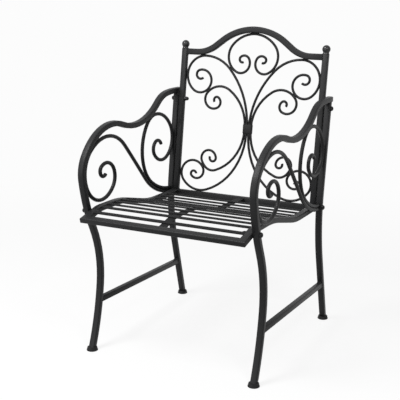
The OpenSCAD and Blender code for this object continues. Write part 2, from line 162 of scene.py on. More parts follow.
def pick(piece, test, kind="VERT"):
    # opens a piece with only the vertices, edges or faces selected that pass a test
    editing(piece, kind)
    bpy.ops.mesh.select_all(action="DESELECT")
    bpy.ops.object.mode_set(mode="OBJECT")
    mesh = piece.data
    for part in {"VERT": mesh.vertices, "EDGE": mesh.edges, "FACE": mesh.polygons}[kind]:
        part.select = test(part)
    bpy.ops.object.mode_set(mode="EDIT")


def faceOut():
    # in edit mode: turns every face outwards
    bpy.ops.mesh.select_all(action="SELECT")
    bpy.ops.mesh.normals_make_consistent(inside=False)


def endEditing():
    bpy.ops.object.mode_set(mode="OBJECT")


def apply(piece):
    only(piece)
    bpy.ops.object.transform_apply(location=True, rotation=True, scale=True)


def placed(piece, matrix):
    # the place and turn go into the mesh, and the object stays at the origin
    piece.matrix_world = matrix
    apply(piece)
    return piece


def smooth(piece, angle=40):
    only(piece)
    bpy.ops.object.shade_smooth_by_angle(angle=math.radians(angle))
    return piece


def block(name, size):
    bpy.ops.mesh.primitive_cube_add(size=1)
    piece = bpy.context.object
    piece.name = name
    piece.scale = size
    apply(piece)
    return piece


def barRing(name, width, depth, corner):
    # a rounded oblong outline, width along local x and depth along local y
    bpy.ops.mesh.primitive_plane_add(size=1)
    ring = bpy.context.object
    ring.name = name
    ring.scale = (width, depth, 1)
    apply(ring)
    editing(ring)
    bpy.ops.mesh.bevel(offset=corner, segments=4, affect="VERTICES")
    bpy.ops.mesh.select_all(action="SELECT")
    bpy.ops.mesh.delete(type="ONLY_FACE")
    endEditing()
    return ring


def roundRing(name, diameter, count):
    bpy.ops.mesh.primitive_circle_add(vertices=count, radius=diameter / 2, fill_type="NOTHING")
    ring = bpy.context.object
    ring.name = name
    return ring


longestFacet = 25  # mm, the longest straight step round a wide bend


def sweep(plane, pose, bends, off, fineness):
    # spins or extrudes the selected outline through each bend in turn
    for turn, reach in bends:
        ahead = plane.ahead(pose[2]) * reach * mm
        if turn == 0:
            bpy.ops.mesh.extrude_region_move(TRANSFORM_OT_translate={"value": ahead})
        else:
            inwards = plane.ahead(pose[2] + math.copysign(90, turn)) * reach * mm
            steps = max(2, math.ceil(abs(turn) / fineness),
                        math.ceil(runLength(turn, reach) / longestFacet))
            bpy.ops.mesh.spin(
                steps=steps, angle=-math.radians(turn),
                center=plane.point(pose[0], pose[1], off) + inwards, axis=plane.out)
        pose = poseAfter(pose, turn, reach)


def bentBar(ring, plane, pose, bends, off=0.0, second=None, fineness=6, lip=0.8 * mm):
    # sweeps an outline along its bends, and a second way from the same start where one is given;
    # fineness is the degrees in a step, lip the eased edge at the ends
    count = len(ring.data.vertices)
    placed(ring, plane.turned(pose, off))
    editing(ring)
    sweep(plane, pose, bends, off, fineness)
    if second:
        pick(ring, lambda vert: vert.index < count)
        sweep(plane, (pose[0], pose[1], pose[2] + 180), second, off, fineness)
    bpy.ops.mesh.select_all(action="SELECT")
    bpy.ops.mesh.fill_holes(sides=0)
    faceOut()
    bpy.ops.mesh.select_mode(type="FACE")
    bpy.ops.mesh.select_all(action="DESELECT")
    bpy.ops.mesh.select_face_by_sides(number=4, type="GREATER")
    bpy.ops.mesh.bevel(offset=lip, segments=2, affect="EDGES")
    endEditing()
    return smooth(ring)


def turnedPiece(name, start, steps, sides):
    # a piece built up along local z from a flat disc: each step is a height and a radius
    height, radius = start
    bpy.ops.mesh.primitive_circle_add(vertices=sides, radius=radius, fill_type="NGON")
    piece = bpy.context.object
    piece.name = name
    editing(piece)
    bpy.ops.transform.translate(value=(0, 0, height))
    for rise, wide in steps:
        k = wide / radius
        bpy.ops.mesh.extrude_region_move(TRANSFORM_OT_translate={"value": (0, 0, rise - height)})
        bpy.ops.transform.resize(value=(k, k, 1), center_override=(0, 0, rise))
        height, radius = rise, wide
    faceOut()
    endEditing()
    return piece


def easeRims(piece, edge):
    # rounds the rims of the flat ends that face along local z
    pick(piece, lambda face: abs(face.normal.z) > 0.9, "FACE")
    bpy.ops.mesh.bevel(offset=edge, segments=2, affect="EDGES")
    endEditing()


def fitTo(piece, node, axes="xyz"):
    # stretches a piece by the last fraction of a millimetre onto its CAD node's box
    low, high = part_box(node)
    points = [vert.co for vert in piece.data.vertices]
    for axis in ["xyz".index(letter) for letter in axes]:
        least, most = min(p[axis] for p in points), max(p[axis] for p in points)
        k = (high[axis] - low[axis]) / (most - least)
        for p in points:
            p[axis] = low[axis] + (p[axis] - least) * k


def copied(piece, name):
    # a copy with its own mesh
    only(piece)
    bpy.ops.object.duplicate()
    copy = bpy.context.object
    copy.name = name
    return copy


def mirrored(piece, name):
    copy = copied(piece, name)
    copy.scale = (-1, 1, 1)
    apply(copy)
    editing(copy)
    faceOut()
    endEditing()
    return copy


def joined(pieces, name):
    only(pieces[0])
    for piece in pieces[1:]:
        piece.select_set(True)
    if len(pieces) > 1:
        bpy.ops.object.join()
    pieces[0].name = name
    return pieces[0]


def keep(piece, node, coat):
    # the piece gets its finish and stands for a CAD node, where there is one
    piece.data.materials.clear()
    piece.data.materials.append(coat)
    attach(piece, "root")
    if node:
        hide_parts(node)


def pair(piece, part, coat):
    # the right piece and its mirrored twin, each for its own node
    twin = mirrored(piece, piece.name.replace("right", "left"))
    keep(piece, "right_" + part, coat)
    keep(twin, "left_" + part, coat)


# Materials

class Flow:
    # a socket of a node tree; sums, differences and products of flows add Math nodes

    def __init__(self, tree, socket=None):
        self.tree, self.socket = tree, socket

    def add(self, kind, settings=None, values=None, out=0):
        node = self.tree.nodes.new(kind)
        for key, value in (settings or {}).items():
            setattr(node, key, value)
        for key, value in (values or {}).items():
            if isinstance(value, Flow):
                self.tree.links.new(value.socket, node.inputs[key])
            else:
                node.inputs[key].default_value = value
        return Flow(self.tree, node.outputs[out] if len(node.outputs) else None)

    def maths(self, operation, a, b):
        return self.add("ShaderNodeMath", {"operation": operation}, {0: a, 1: b})

    def noise(self, place, size, detail, roughness):
        return self.add("ShaderNodeTexNoise", values={
            "Vector": place, "Scale": size, "Detail": detail, "Roughness": roughness})

    def blend(self, share, a, b):
        # one colour into another
        return self.add("ShaderNodeMix", {"data_type": "RGBA"}, {
            "Factor": share, "A": (*a, 1), "B": (*b, 1)}, out="Result")

    def __add__(self, other):
        return self.maths("ADD", self, other)

    def __radd__(self, other):
        return self.maths("ADD", other, self)

    def __sub__(self, other):
        return self.maths("SUBTRACT", self, other)

    def __rsub__(self, other):
        return self.maths("SUBTRACT", other, self)

    def __mul__(self, other):
        return self.maths("MULTIPLY", self, other)

    def __rmul__(self, other):
        return self.maths("MULTIPLY", other, self)


def newMaterial(name):
    material = bpy.data.materials.new(name)
    material.use_nodes = True
    material.node_tree.nodes.clear()
    return material, Flow(material.node_tree)


powderCoat = {
    "dark": (0.0115, 0.0117, 0.0124),  # the coat where it is thick
    # the pale colour also carries the painted light on faces that look up
    "pale": (0.0225, 0.0227, 0.0231),  # thin coat and settled dust
    "blotches": (9.0, 5.0, 0.6),  # bumps per metre, detail and roughness
    "dust": (130.0, 3.0, 0.55),
    "peel": (420.0, 2.0, 0.5),
    "blotchShare": 0.5,  # how much each makes the coat pale
    "dustShare": 0.35,
    # the next share is painted light: faces that look up are made paler, as if lit from above
    "paintedTopLightShare": 0.12,
    "darkShift": 0.2,
    "roughness": 0.43,
    "roughSpread": 0.08,
    "dustRough": 0.05,
    "peelStrength": 0.5,
    "peelDepth": 0.00009,
    "ior": 1.26,
}


def coatMaterial(name, tone=1.0, rough=0.0, ior=powderCoat["ior"]):
    coat = powderCoat
    material, flow = newMaterial(name)
    place = flow.add("ShaderNodeTexCoord", out="Object")
    blotches, dust, peel = (flow.noise(place, *coat[key]) for key in ("blotches", "dust", "peel"))
    # painted light: the more a face looks up, the paler its coat, as if lit from above
    upward = flow.add("ShaderNodeNewGeometry", out="Normal")
    height = flow.add("ShaderNodeSeparateXYZ", values={"Vector": upward}, out="Z")
    paintedTopLight = flow.add("ShaderNodeClamp", values={"Value": height})
    share = flow.add("ShaderNodeClamp", values={
        "Value": blotches * coat["blotchShare"] + dust * coat["dustShare"]
                 + paintedTopLight * coat["paintedTopLightShare"] - coat["darkShift"]})
    dark, pale = ([c * tone for c in coat[which]] for which in ("dark", "pale"))
    roughness = (coat["roughness"] + rough + (blotches - 0.5) * coat["roughSpread"]
                 + dust * coat["dustRough"])
    bump = flow.add("ShaderNodeBump", values={
        "Height": peel, "Strength": coat["peelStrength"], "Distance": coat["peelDepth"]})
    shader = flow.add("ShaderNodeBsdfPrincipled", values={
        "Base Color": flow.blend(share, dark, pale), "Roughness": roughness,
        "Normal": bump, "IOR": ior})
    flow.add("ShaderNodeOutputMaterial", values={"Surface": shader})
    return material


tubeCoat = coatMaterial("tubeCoat")
rodCoat = coatMaterial("rodCoat", tone=0.7, rough=-0.02)
slatCoat = coatMaterial("slatCoat", tone=0.8, rough=0.23, ior=1.21)
capCoat = coatMaterial("capCoat", tone=0.85, rough=0.06)
ballCoat = coatMaterial("ballCoat", tone=0.6, rough=-0.17, ior=1.45)
boltCoat = coatMaterial("boltCoat", rough=-0.06)
print("materials made")


# Side frames

middleLines = {}  # stations on the tubes and rods, for the welds
sideTube = {"width": 19.8 * mm, "depth": 17.2 * mm, "corner": 3.6 * mm}
arm = {
    "footHeading": 68,
    "footZ": 8 * mm,
    "sink": 2.5,  # mm that the leg goes on down in its cap
    "lip": 1.2 * mm,
    "bends": [(15, 765), (34, 315), (-17, 550), (-43, 88), (-75, 180), (58, 230), (-32, 117),
              (-8, 455)],
}


def armTube():
    cap = middleOf("right_front_foot_cap")
    slope = math.tan(math.radians(arm["footHeading"]))
    foot = (cap.y + (arm["footZ"] - cap.z) / slope, arm["footZ"], arm["footHeading"])
    start = poseAfter(foot, 0, -arm["sink"])
    bends = [(0, arm["sink"])] + arm["bends"]
    turned = endOf(start, bends)
    length = (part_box("right_arm_leg_tube")[1][1] - turned[0]) / mm
    middleLines["arm"] = stations(start, bends + [(0, length)])
    ring = barRing("rightArmTube", sideTube["width"], sideTube["depth"], sideTube["corner"])
    piece = bentBar(ring, sidePlane, start, bends + [(0, length)], lip=arm["lip"])
    pair(piece, "arm_leg_tube", tubeCoat)
    return turned


armEnd = armTube()

rearLeg = {"curveZ": 0.460, "turn": 23.8, "radius": 550, "sink": 5 * mm, "footZ": 5 * mm}


def rearLegTube():
    topZ = armEnd[1] - rearLeg["sink"]  # hidden inside the arm
    start = (postY(topZ), topZ, 270 - math.degrees(lean))
    straight = (topZ - rearLeg["curveZ"]) / math.cos(lean) / mm
    bends = [(0, straight), (rearLeg["turn"], rearLeg["radius"])]
    turned = endOf(start, bends)
    drop = (turned[1] - rearLeg["footZ"]) / -math.sin(math.radians(turned[2])) / mm
    middleLines["rearLeg"] = stations(start, bends + [(0, drop)])
    ring = barRing("rightRearLegTube", sideTube["width"], sideTube["depth"], sideTube["corner"])
    piece = bentBar(ring, sidePlane, start, bends + [(0, drop)])
    pair(piece, "rear_leg_tube", tubeCoat)


rearLegTube()

stretcherBar = {"side": 17.4 * mm, "corner": 3.2 * mm, "frontZ": 150.5 * mm, "rearZ": 134.6 * mm}


def stretcher():
    low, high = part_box("right_stretcher")
    run = Vector((0, high[1] - low[1], stretcherBar["rearZ"] - stretcherBar["frontZ"]))
    start = (low[1], stretcherBar["frontZ"], math.degrees(math.atan2(run.z, run.y)))
    straight = [(0, run.length / mm)]
    middleLines["stretcher"] = stations(start, straight)
    side = stretcherBar["side"]
    ring = barRing("rightStretcher", side, side, stretcherBar["corner"])
    pair(bentBar(ring, sidePlane, start, straight), "stretcher", tubeCoat)


stretcher()

scrollRod = {
    "diameter": 11.6 * mm,
    "sides": 24,
    "heading": 177,
    "ovalZ": 416.2 * mm,
    "frontZ": 404.8 * mm,
    "oval": [(-29, 262), (-99, 132), (-45, 75), (-58, 119), (-178, 69), (-192, 27)],
    "front": [(-29, 273.3), (-15, 188), (2, 5190), (84, 140), (98, 89), (92, 85), (163, 48),
              (195, 17)],
}


def sideScroll(which):
    node = f"right_{which}_scroll"
    start = (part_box(node)[1][1], scrollRod[which + "Z"], scrollRod["heading"])
    middleLines[which] = stations(start, scrollRod[which])
    ring = roundRing(f"right{which.capitalize()}Scroll", scrollRod["diameter"], scrollRod["sides"])
    piece = bentBar(ring, sidePlane, start, scrollRod[which], fineness=8)
    fitTo(piece, node, "yz")
    pair(piece, which + "_scroll", rodCoat)


sideScroll("oval")
sideScroll("front")
print("side frames made")

footCap = {
    "sides": 48,
    "sole": (0, 16.4 * mm),  # a height and a radius, as in each ring above it
    "rings": [(0.6 * mm, 17.4 * mm), (2.2 * mm, 17.4 * mm), (3.4 * mm, 16.6 * mm),
              (9.5 * mm, 15.3 * mm), (10.6 * mm, 14.8 * mm), (11 * mm, 13.8 * mm)],
}


def footCaps():
    cap = turnedPiece("footCap", footCap["sole"], footCap["rings"], footCap["sides"])
    smooth(cap, 35)
    for end in ("front", "rear"):
        middle = middleOf(f"right_{end}_foot_cap")
        piece = copied(cap, f"right{end.capitalize()}FootCap")
        placed(piece, Matrix.Translation((middle.x, middle.y, 0)))
        pair(piece, f"{end}_foot_cap", capCoat)
    bpy.data.objects.remove(cap)


footCaps()
print("foot caps made")


# Back

railSink = 1  # mm that a rail's end reaches into the post
backTube = {"width": 19.6 * mm, "depth": 16.6 * mm, "corner": 3.6 * mm, "postLip": 1.5 * mm}
backRod = {
    "diameter": 8.3 * mm,
    "sides": 20,
    "lip": 0.5 * mm,
    "setback": 4 * mm,
    "collarV": 206 * mm,
    "outerU": 3.8 * mm,
    "innerU": 11.5 * mm,
    "outerUp": [(0, 16), (-6, 114), (-37, 285), (-47, 125), (-141, 64), (-119, 41), (-115, 36),
                (-207, 15)],
    "outerDown": [(0, 16), (36, 225), (34, 190), (71, 80), (188, 43), (165, 26), (220, 10)],
    "innerUp": [(0, 16), (-10, 68), (-47, 144), (-86, 60), (-155, 32), (-118, 20), (-164, 10)],
    "innerDown": [(0, 16), (8, 85), (61, 149), (70, 38), (13, 78), (201, 27), (208, 11.5)],
    "centre": [(-8, 86), (-42, 99), (-102, 58), (-146, 32), (-103, 19.5), (-162, 10)],
    "gap": 0.1 * mm,  # between the centre rod and the crest
}
topRailBar = {"crestV": 527.6 * mm, "half": [(-37.5, 180), (0, 30), (37.5, 110)]}
leanBack = Matrix.Rotation(-lean, 4, "X")


def upTheBack(point):
    # how far up the slope of the back a point lies
    return (point - backPlane.origin).dot(backPlane.up)


def backRing(name):
    return barRing(name, backTube["depth"], backTube["width"], backTube["corner"])


def backPost():
    length = (sizeOf("right_back_post").z - backTube["depth"] * math.sin(lean)) / math.cos(lean)
    foot = postMiddle - backPlane.up * length / 2
    start = (foot.x, upTheBack(foot), 90)
    straight = [(0, length / mm)]
    middleLines["backPost"] = stations(start, straight)
    piece = bentBar(backRing("rightBackPost"), backPlane, start, straight, lip=backTube["postLip"])
    pair(piece, "back_post", tubeCoat)
    return start[1] + length


postTopV = backPost()

finial = {
    "ball": 26 * mm,
    "lift": 0.6 * mm,  # the ball's lowest point over the post
    "sink": 0.4 * mm,  # the neck's end below the ball's lowest point
    "cut": 0.66,  # how far down the ball the neck begins, as a share of its radius
    "neck": (0.95, 1, 1.08),  # each step of the neck widens or narrows by this
}


def ballFinial():
    radius = finial["ball"] / 2
    bpy.ops.mesh.primitive_uv_sphere_add(segments=48, ring_count=32, radius=radius)
    piece = bpy.context.object
    piece.name = "rightBallFinial"
    pick(piece, lambda vert: vert.co.z < -finial["cut"] * radius)
    bpy.ops.mesh.delete(type="VERT")
    endEditing()
    low = min(vert.co.z for vert in piece.data.vertices)
    pick(piece, lambda vert: vert.co.z < low + 0.01 * radius)
    step = (radius + low + finial["lift"] + finial["sink"]) / len(finial["neck"])
    for k in finial["neck"]:
        bpy.ops.mesh.extrude_region_move(TRANSFORM_OT_translate={"value": (0, 0, -step)})
        bpy.ops.transform.resize(value=(k, k, 1), center_override=(0, 0, 0))
    bpy.ops.mesh.edge_face_add()
    faceOut()
    endEditing()
    middle = backPlane.point(backX, postTopV + finial["lift"] + radius)
    placed(piece, Matrix.Translation(middle) @ leanBack)
    pair(smooth(piece, 50), "ball_finial", ballCoat)


ballFinial()


def topRail():
    half, start = topRailBar["half"], (0, topRailBar["crestV"], 0)
    reach = (backX - backTube["width"] / 2 - endOf(start, half)[0]) / mm + railSink
    toPost = [(0, reach)]
    middleLines["topRail"] = stations(start, half + toPost)
    piece = bentBar(backRing("topRail"), backPlane, start, half + toPost,
                    second=otherWay(half) + toPost, fineness=3)
    keep(piece, "top_rail", tubeCoat)


topRail()


def backBottomRail():
    reach = sizeOf("back_bottom_rail").x / mm + 2 * railSink
    v = upTheBack(middleOf("back_bottom_rail"))
    middleLines["bottomRail"] = stations((0, v, 0), [(0, reach / 2)])
    start = (-reach * mm / 2, v, 0)
    piece = bentBar(backRing("backBottomRail"), backPlane, start, [(0, reach)])
    keep(piece, "back_bottom_rail", tubeCoat)


backBottomRail()


def backScroll(name, start, bends, second):
    ring = roundRing(name, backRod["diameter"], backRod["sides"])
    return bentBar(ring, backPlane, start, bends, off=-backRod["setback"],
                   second=second, fineness=8, lip=backRod["lip"])


def sideBackScroll(which):
    # one rod, from the collar up to one curl and down to the other
    name, node = f"right{which.capitalize()}BackRod", f"right_{which}_back_rod"
    u, v = backRod[which + "U"], backRod["collarV"]
    up, down = backRod[which + "Up"], backRod[which + "Down"]
    middleLines[which + "BackRod"] = stations((u, v, 90), up) + stations((u, v, 270), down)
    piece = backScroll(name, (u, v, 90), up, down)
    fitTo(piece, node)
    pair(piece, f"{which}_back_rod", rodCoat)


def centreBackScroll():
    crown = topRailBar["crestV"] - backTube["width"] / 2 - backRod["diameter"] / 2 - backRod["gap"]
    start, bends = (0, crown, 0), backRod["centre"]
    middleLines["centreBackRod"] = stations(start, bends)
    piece = backScroll("centreBackRod", start, bends, otherWay(bends))
    fitTo(piece, "centre_back_rod")
    keep(piece, "centre_back_rod", rodCoat)


sideBackScroll("outer")
sideBackScroll("inner")
centreBackScroll()

collarBand = {
    "height": 29 * mm,
    "wall": 1.4 * mm,
    "edge": 0.9 * mm,
    "sink": 0.8 * mm,  # how far the ends are let in
    "wrap": 4.2 * mm,  # radius of the upright corners
}


def upright(piece, edge):
    # how far an edge points along z, 0 to 1
    a, b = (piece.data.vertices[i].co for i in edge.vertices)
    return abs((b - a).normalized().z)


def collar():
    size = sizeOf("collar")
    depth = (size.y - collarBand["height"] * math.sin(lean)) / math.cos(lean)
    piece = block("collar", (size.x, depth, collarBand["height"]))
    pick(piece, lambda edge: upright(piece, edge) > 0.9, "EDGE")
    bpy.ops.mesh.bevel(offset=collarBand["wrap"], segments=6, affect="EDGES")
    pick(piece, lambda edge: upright(piece, edge) < 0.1, "EDGE")
    bpy.ops.mesh.bevel(offset=collarBand["edge"], segments=3, affect="EDGES")
    # the ends are let in, so that the wall of the band shows
    pick(piece, lambda face: abs(face.normal.z) > 0.99 and face.area > size.x * depth / 3, "FACE")
    bpy.ops.mesh.inset(thickness=collarBand["wall"] - collarBand["edge"], depth=0)
    bpy.ops.mesh.inset(thickness=0.01 * mm, depth=-collarBand["sink"])
    endEditing()
    placed(piece, Matrix.Translation(middleOf("collar")) @ leanBack)
    keep(smooth(piece, 30), "collar", rodCoat)


collar()
print("back made")


# Seat

seatTube = {
    "width": 23 * mm,
    "depth": 16 * mm,
    "corner": 3 * mm,
    "slope": 14,
    "wave": [(0, 71.7), (-14, 110), (0, 65), (-13, 380), (0, 103), (13, 355)],
}
seatWave = seatTube["wave"]
seatTilt = math.radians(seatTube["slope"])
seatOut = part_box("right_seat_side_rail")[1][0]
seatIn = seatOut - seatTube["width"]
frontRail = middleOf("seat_front_rail")
seatPlane = Plane((seatOut - seatTube["width"] / 2, 0, 0), (0, 1, 0), (0, 0, 1))
seatStart = poseAfter((frontRail.y, frontRail.z, seatTube["slope"]), 0, -seatTube["width"] / 2 / mm)
seatTurned = endOf(seatStart, seatWave)
seatEnd = postY(seatTurned[1]) - backTube["depth"] / 2 / math.cos(lean)


def mitre(piece, side, **cleared):
    # cuts a rail's corner at 45 degrees and closes it
    editing(piece)
    bpy.ops.mesh.bisect(
        plane_co=(side * seatOut, seatStart[0], seatStart[1]),
        plane_no=(side, math.cos(seatTilt), math.sin(seatTilt)),
        use_fill=True, **cleared)
    endEditing()


boltTab = {
    "thick": 2.3 * mm,
    "inset": 0.1 * mm,  # from the rail's outer face
    "overlap": 4 * mm,  # with the rail's end
    "corner": 6 * mm,
}


def sideRailTab():
    # the tab that the lower bolt passes through
    front, rear = seatEnd - boltTab["overlap"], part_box("right_seat_side_rail")[1][1]
    tab = block("boltTab", (boltTab["thick"], rear - front, seatTube["depth"]))
    placed(tab, Matrix.Translation((
        seatOut - boltTab["inset"] - boltTab["thick"] / 2, (rear + front) / 2, seatTurned[1])))
    pick(tab, lambda vert: vert.co.y > seatEnd)
    bpy.ops.mesh.bevel(offset=boltTab["corner"], segments=6, affect="VERTICES")
    endEditing()
    return smooth(tab)


def seatSideRail():
    ring = barRing("rightSeatSideRail", seatTube["width"], seatTube["depth"], seatTube["corner"])
    toBack = [(0, (seatEnd - seatTurned[0]) / mm)]
    piece = bentBar(ring, seatPlane, seatStart, seatWave + toBack)
    mitre(piece, 1, clear_inner=True)
    smooth(piece)
    pair(joined([piece, sideRailTab()], "rightSeatSideRail"), "seat_side_rail", tubeCoat)


seatSideRail()


def seatFrontRail():
    ring = barRing("seatFrontRail", seatTube["depth"], seatTube["width"], seatTube["corner"])
    ahead = (0, math.cos(seatTilt), math.sin(seatTilt))
    flat = Plane((0, frontRail.y, frontRail.z), (1, 0, 0), ahead)
    piece = bentBar(ring, flat, (-seatOut, 0, 0), [(0, 2 * seatOut / mm)])
    for side in (1, -1):
        mitre(piece, side, clear_outer=True)
    keep(smooth(piece), "seat_front_rail", tubeCoat)


seatFrontRail()

slatBar = {
    "width": 13.4 * mm,
    "thick": 3.4 * mm,
    "edge": 0.8 * mm,
    "overlap": 0.3 * mm,  # with each side rail
    "first": 48.4,  # mm along the side rail to the first slat, and between slats
    "pitch": 36.8,
}
slatCount = sum(1 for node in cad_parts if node.startswith("slat_"))
slatPoses = [poseAt(seatStart, seatWave, slatBar["first"] + i * slatBar["pitch"])
             for i in range(slatCount)]


def slats():
    slat = block("slat", (2 * (seatIn + slatBar["overlap"]), slatBar["width"], slatBar["thick"]))
    pick(slat, lambda face: abs(face.normal.x) < 0.5, "FACE")
    bpy.ops.mesh.bevel(offset=slatBar["edge"], segments=3, affect="EDGES")
    endEditing()
    smooth(slat, 35)
    lift = Matrix.Translation((0, 0, (seatTube["depth"] - slatBar["thick"]) / 2))
    for number, pose in enumerate(slatPoses, 1):
        tilt = Matrix.Rotation(math.radians(pose[2]), 4, "X")
        piece = copied(slat, f"slat{number}")
        placed(piece, Matrix.Translation((0, pose[0], pose[1])) @ tilt @ lift)
        keep(piece, f"slat_{number}", slatCoat)
    bpy.data.objects.remove(slat)


slats()

strapBar = {
    "width": 25 * mm,
    "thick": 3 * mm,
    "corner": 0.8 * mm,
    "lip": 0.4 * mm,
    "gap": 0.1,  # mm to the slats and the rails
    "bend": 3,
    "flange": 11,
}


def centreStrap():
    gap, half = strapBar["gap"] * mm, strapBar["thick"] / 2
    drop = seatTube["depth"] / 2 - slatBar["thick"] - gap - half
    railWidth = seatTube["width"] / mm + strapBar["gap"]
    y, z, heading = poseAt(seatStart, seatWave, railWidth)
    tilt = math.radians(heading)
    start = (y - drop * math.sin(tilt), z + drop * math.cos(tilt), heading)
    waves = [(0, seatWave[0][1] - railWidth)]
    waves += [(turn, reach - math.copysign(drop / mm, turn) if turn else reach)
              for turn, reach in seatWave[1:]]
    turned = endOf(start, waves)
    # the bend comes where the flange then lies along the front of the bottom rail
    rail = backPlane.point(0, 0, backTube["depth"] / 2)
    r = strapBar["bend"] * mm
    down = (turned[1] - r - rail.z) * math.sin(lean) - r - half - gap
    level = (rail.y + down / math.cos(lean) - turned[0]) / mm
    flange = [(0, level), (-90 - math.degrees(lean), strapBar["bend"]), (0, strapBar["flange"])]
    middle = Plane((0, 0, 0), (0, 1, 0), (0, 0, 1))
    ring = barRing("centreStrap", strapBar["width"], strapBar["thick"], strapBar["corner"])
    piece = bentBar(ring, middle, start, waves + flange, lip=strapBar["lip"])
    keep(piece, "centre_strap", slatCoat)


centreStrap()
print("seat made")


# Fasteners

bolt = {
    "wide": 15 * mm,
    "tall": 8 * mm,
    "rim": 2.5 * mm,
    "shank": 6 * mm,
    "past": 3 * mm,  # beyond the inner face, inside a cap nut
    "short": 1 * mm,  # the lower bolts end this far before the inner face
}
strapBolt = {"wide": 8 * mm, "tall": 2 * mm, "rim": 0.5 * mm, "shank": 4 * mm, "length": 22 * mm}
boltEdge = {
    "head": 0.4 * mm,  # eased rims of the head's seat and the shank's tip
    "tip": 0.3 * mm,
    "neck": 0.5 * mm,  # three close rings keep the corner under the head sharp
    "root": 0.01 * mm,
    "seat": 0.0001 * mm,
}
domeTip = 0.02  # a dome's flat tip, as a share of its base
outward = Matrix.Rotation(math.radians(90), 4, "Y")
inward = Matrix.Rotation(math.radians(-90), 4, "Y")


def domeSteps(wide, low, high, count=7):
    # rising steps of a dome of the given base radius
    angles = [math.pi / 2 * i / count for i in range(1, count)]
    rings = [(low + (high - low) * math.sin(a), wide * math.cos(a)) for a in angles]
    return rings + [(high, wide * domeTip)]


def domedBolt(name, size, length, place, turn):
    # a bolt with its head's seat at place and its dome along local z
    r, shank = size["wide"] / 2, size["shank"] / 2
    head = [(-boltEdge["neck"], shank), (0, shank + boltEdge["root"]),
            (boltEdge["seat"], r - boltEdge["head"]), (boltEdge["head"], r), (size["rim"], r)]
    tip = (-length, shank - boltEdge["tip"])
    piece = turnedPiece(name, tip, head + domeSteps(r, size["rim"], size["tall"]), 40)
    placed(piece, Matrix.Translation(place) @ turn)
    return smooth(piece)


def boltsAt(node, name, shankEnd):
    # one bolt on each side frame, at the middle of the CAD bolts
    middle = middleOf(node)
    face = sideX + sideTube["width"] / 2
    right = domedBolt(name, bolt, face - shankEnd, (face, middle.y, middle.z), outward)
    keep(joined([right, mirrored(right, name + "Left")], name), node, boltCoat)


innerPost = backX - backTube["width"] / 2
boltsAt("front_bolts", "frontBolts", seatIn - bolt["past"])
boltsAt("upper_bolts", "upperBolts", innerPost - bolt["past"])
boltsAt("lower_bolts", "lowerBolts", innerPost + bolt["short"])

nut = {
    "front": {"flats": 10 * mm, "tall": 11 * mm},
    "upper": {"flats": 13 * mm, "tall": 15 * mm},
    "edge": 0.5 * mm,
    "shoulder": 0.3 * mm,  # from the flats to the dome
}


def hexRadius(flats):
    return flats / 2 / math.cos(math.pi / 6)


def capNut(size, place):
    # a hexagon with eased edges and a dome let into its top
    hexTall, corner, edge = size["tall"] / 2, hexRadius(size["flats"]), nut["edge"]
    steps = [(edge, corner), (hexTall - edge, corner), (hexTall, corner - edge)]
    hexagon = turnedPiece("capNut", (0, corner - edge), steps, 6)
    r = size["flats"] / 2 - nut["shoulder"]
    steps = [(hexTall + edge, r)] + domeSteps(r, hexTall + edge, size["tall"])
    crown = turnedPiece("crown", (hexTall - edge, r), steps, 36)
    piece = joined([hexagon, crown], "capNut")
    placed(piece, Matrix.Translation(place) @ inward)
    return smooth(piece, 35)


def capNuts():
    front, upper = middleOf("front_bolts"), middleOf("upper_bolts")
    nuts = [capNut(nut["front"], (seatIn, front.y, front.z)),
            capNut(nut["upper"], (innerPost, upper.y, upper.z))]
    nuts += [mirrored(each, "capNutLeft") for each in list(nuts)]
    keep(joined(nuts, "capNuts"), "cap_nuts", boltCoat)


capNuts()

spacer = {"radius": 8 * mm, "edge": 0.4 * mm, "sides": 40}


def spacers():
    # they fill the gap between the rear post and the back post
    spot = middleOf("upper_bolts")
    inner, outer = backX + backTube["width"] / 2, sideX - sideTube["width"] / 2
    bpy.ops.mesh.primitive_cylinder_add(
        vertices=spacer["sides"], radius=spacer["radius"], depth=outer - inner)
    piece = bpy.context.object
    piece.name = "spacers"
    easeRims(piece, spacer["edge"])
    placed(piece, Matrix.Translation(((inner + outer) / 2, spot.y, spot.z)) @ outward)
    smooth(piece, 35)
    keep(joined([piece, mirrored(piece, "spacerLeft")], "spacers"), "spacers", boltCoat)


spacers()

strapNut = {"flats": 7 * mm, "tall": 3.2 * mm, "edge": 0.35 * mm}


def strapFasteners():
    # the strap's bolt and nut lie square to the back
    square = Matrix.Rotation(math.radians(90) - lean, 4, "X")
    spot = middleOf("strap_nut")
    flangeFace = backTube["depth"] / 2 + strapBar["gap"] * mm + strapBar["thick"]
    seat = backPlane.point(0, upTheBack(spot), flangeFace)
    piece = domedBolt("strapBolt", strapBolt, strapBolt["length"], seat, square)
    keep(piece, "strap_bolt", boltCoat)
    bpy.ops.mesh.primitive_cylinder_add(
        vertices=6, radius=hexRadius(strapNut["flats"]), depth=strapNut["tall"])
    piece = bpy.context.object
    piece.name = "strapNut"
    easeRims(piece, strapNut["edge"])
    placed(piece, Matrix.Translation(spot) @ square)
    keep(smooth(piece, 30), "strap_nut", boltCoat)


strapFasteners()
print("fasteners made")


# Welds

weld = {
    "width": 3.2 * mm,
    "slatWidth": 2.4 * mm,
    "slatInset": 1 * mm,  # from a slat's edges to the ends of its bead
    "ripple": 1.6 * mm,
    "swell": 1.25,
    "sides": 10,
    "stretch": 13 * mm,  # the length of a bead where a rod lies against another piece
    "near": 1.5 * mm,  # pieces that lie closer than this are welded
    "spread": 0.6,  # a bead's place to either side of a rod's middle, as a share of its half
    "lap": 0.75,  # half the length of a bead at a bar's end, as a share of the bar's half
}


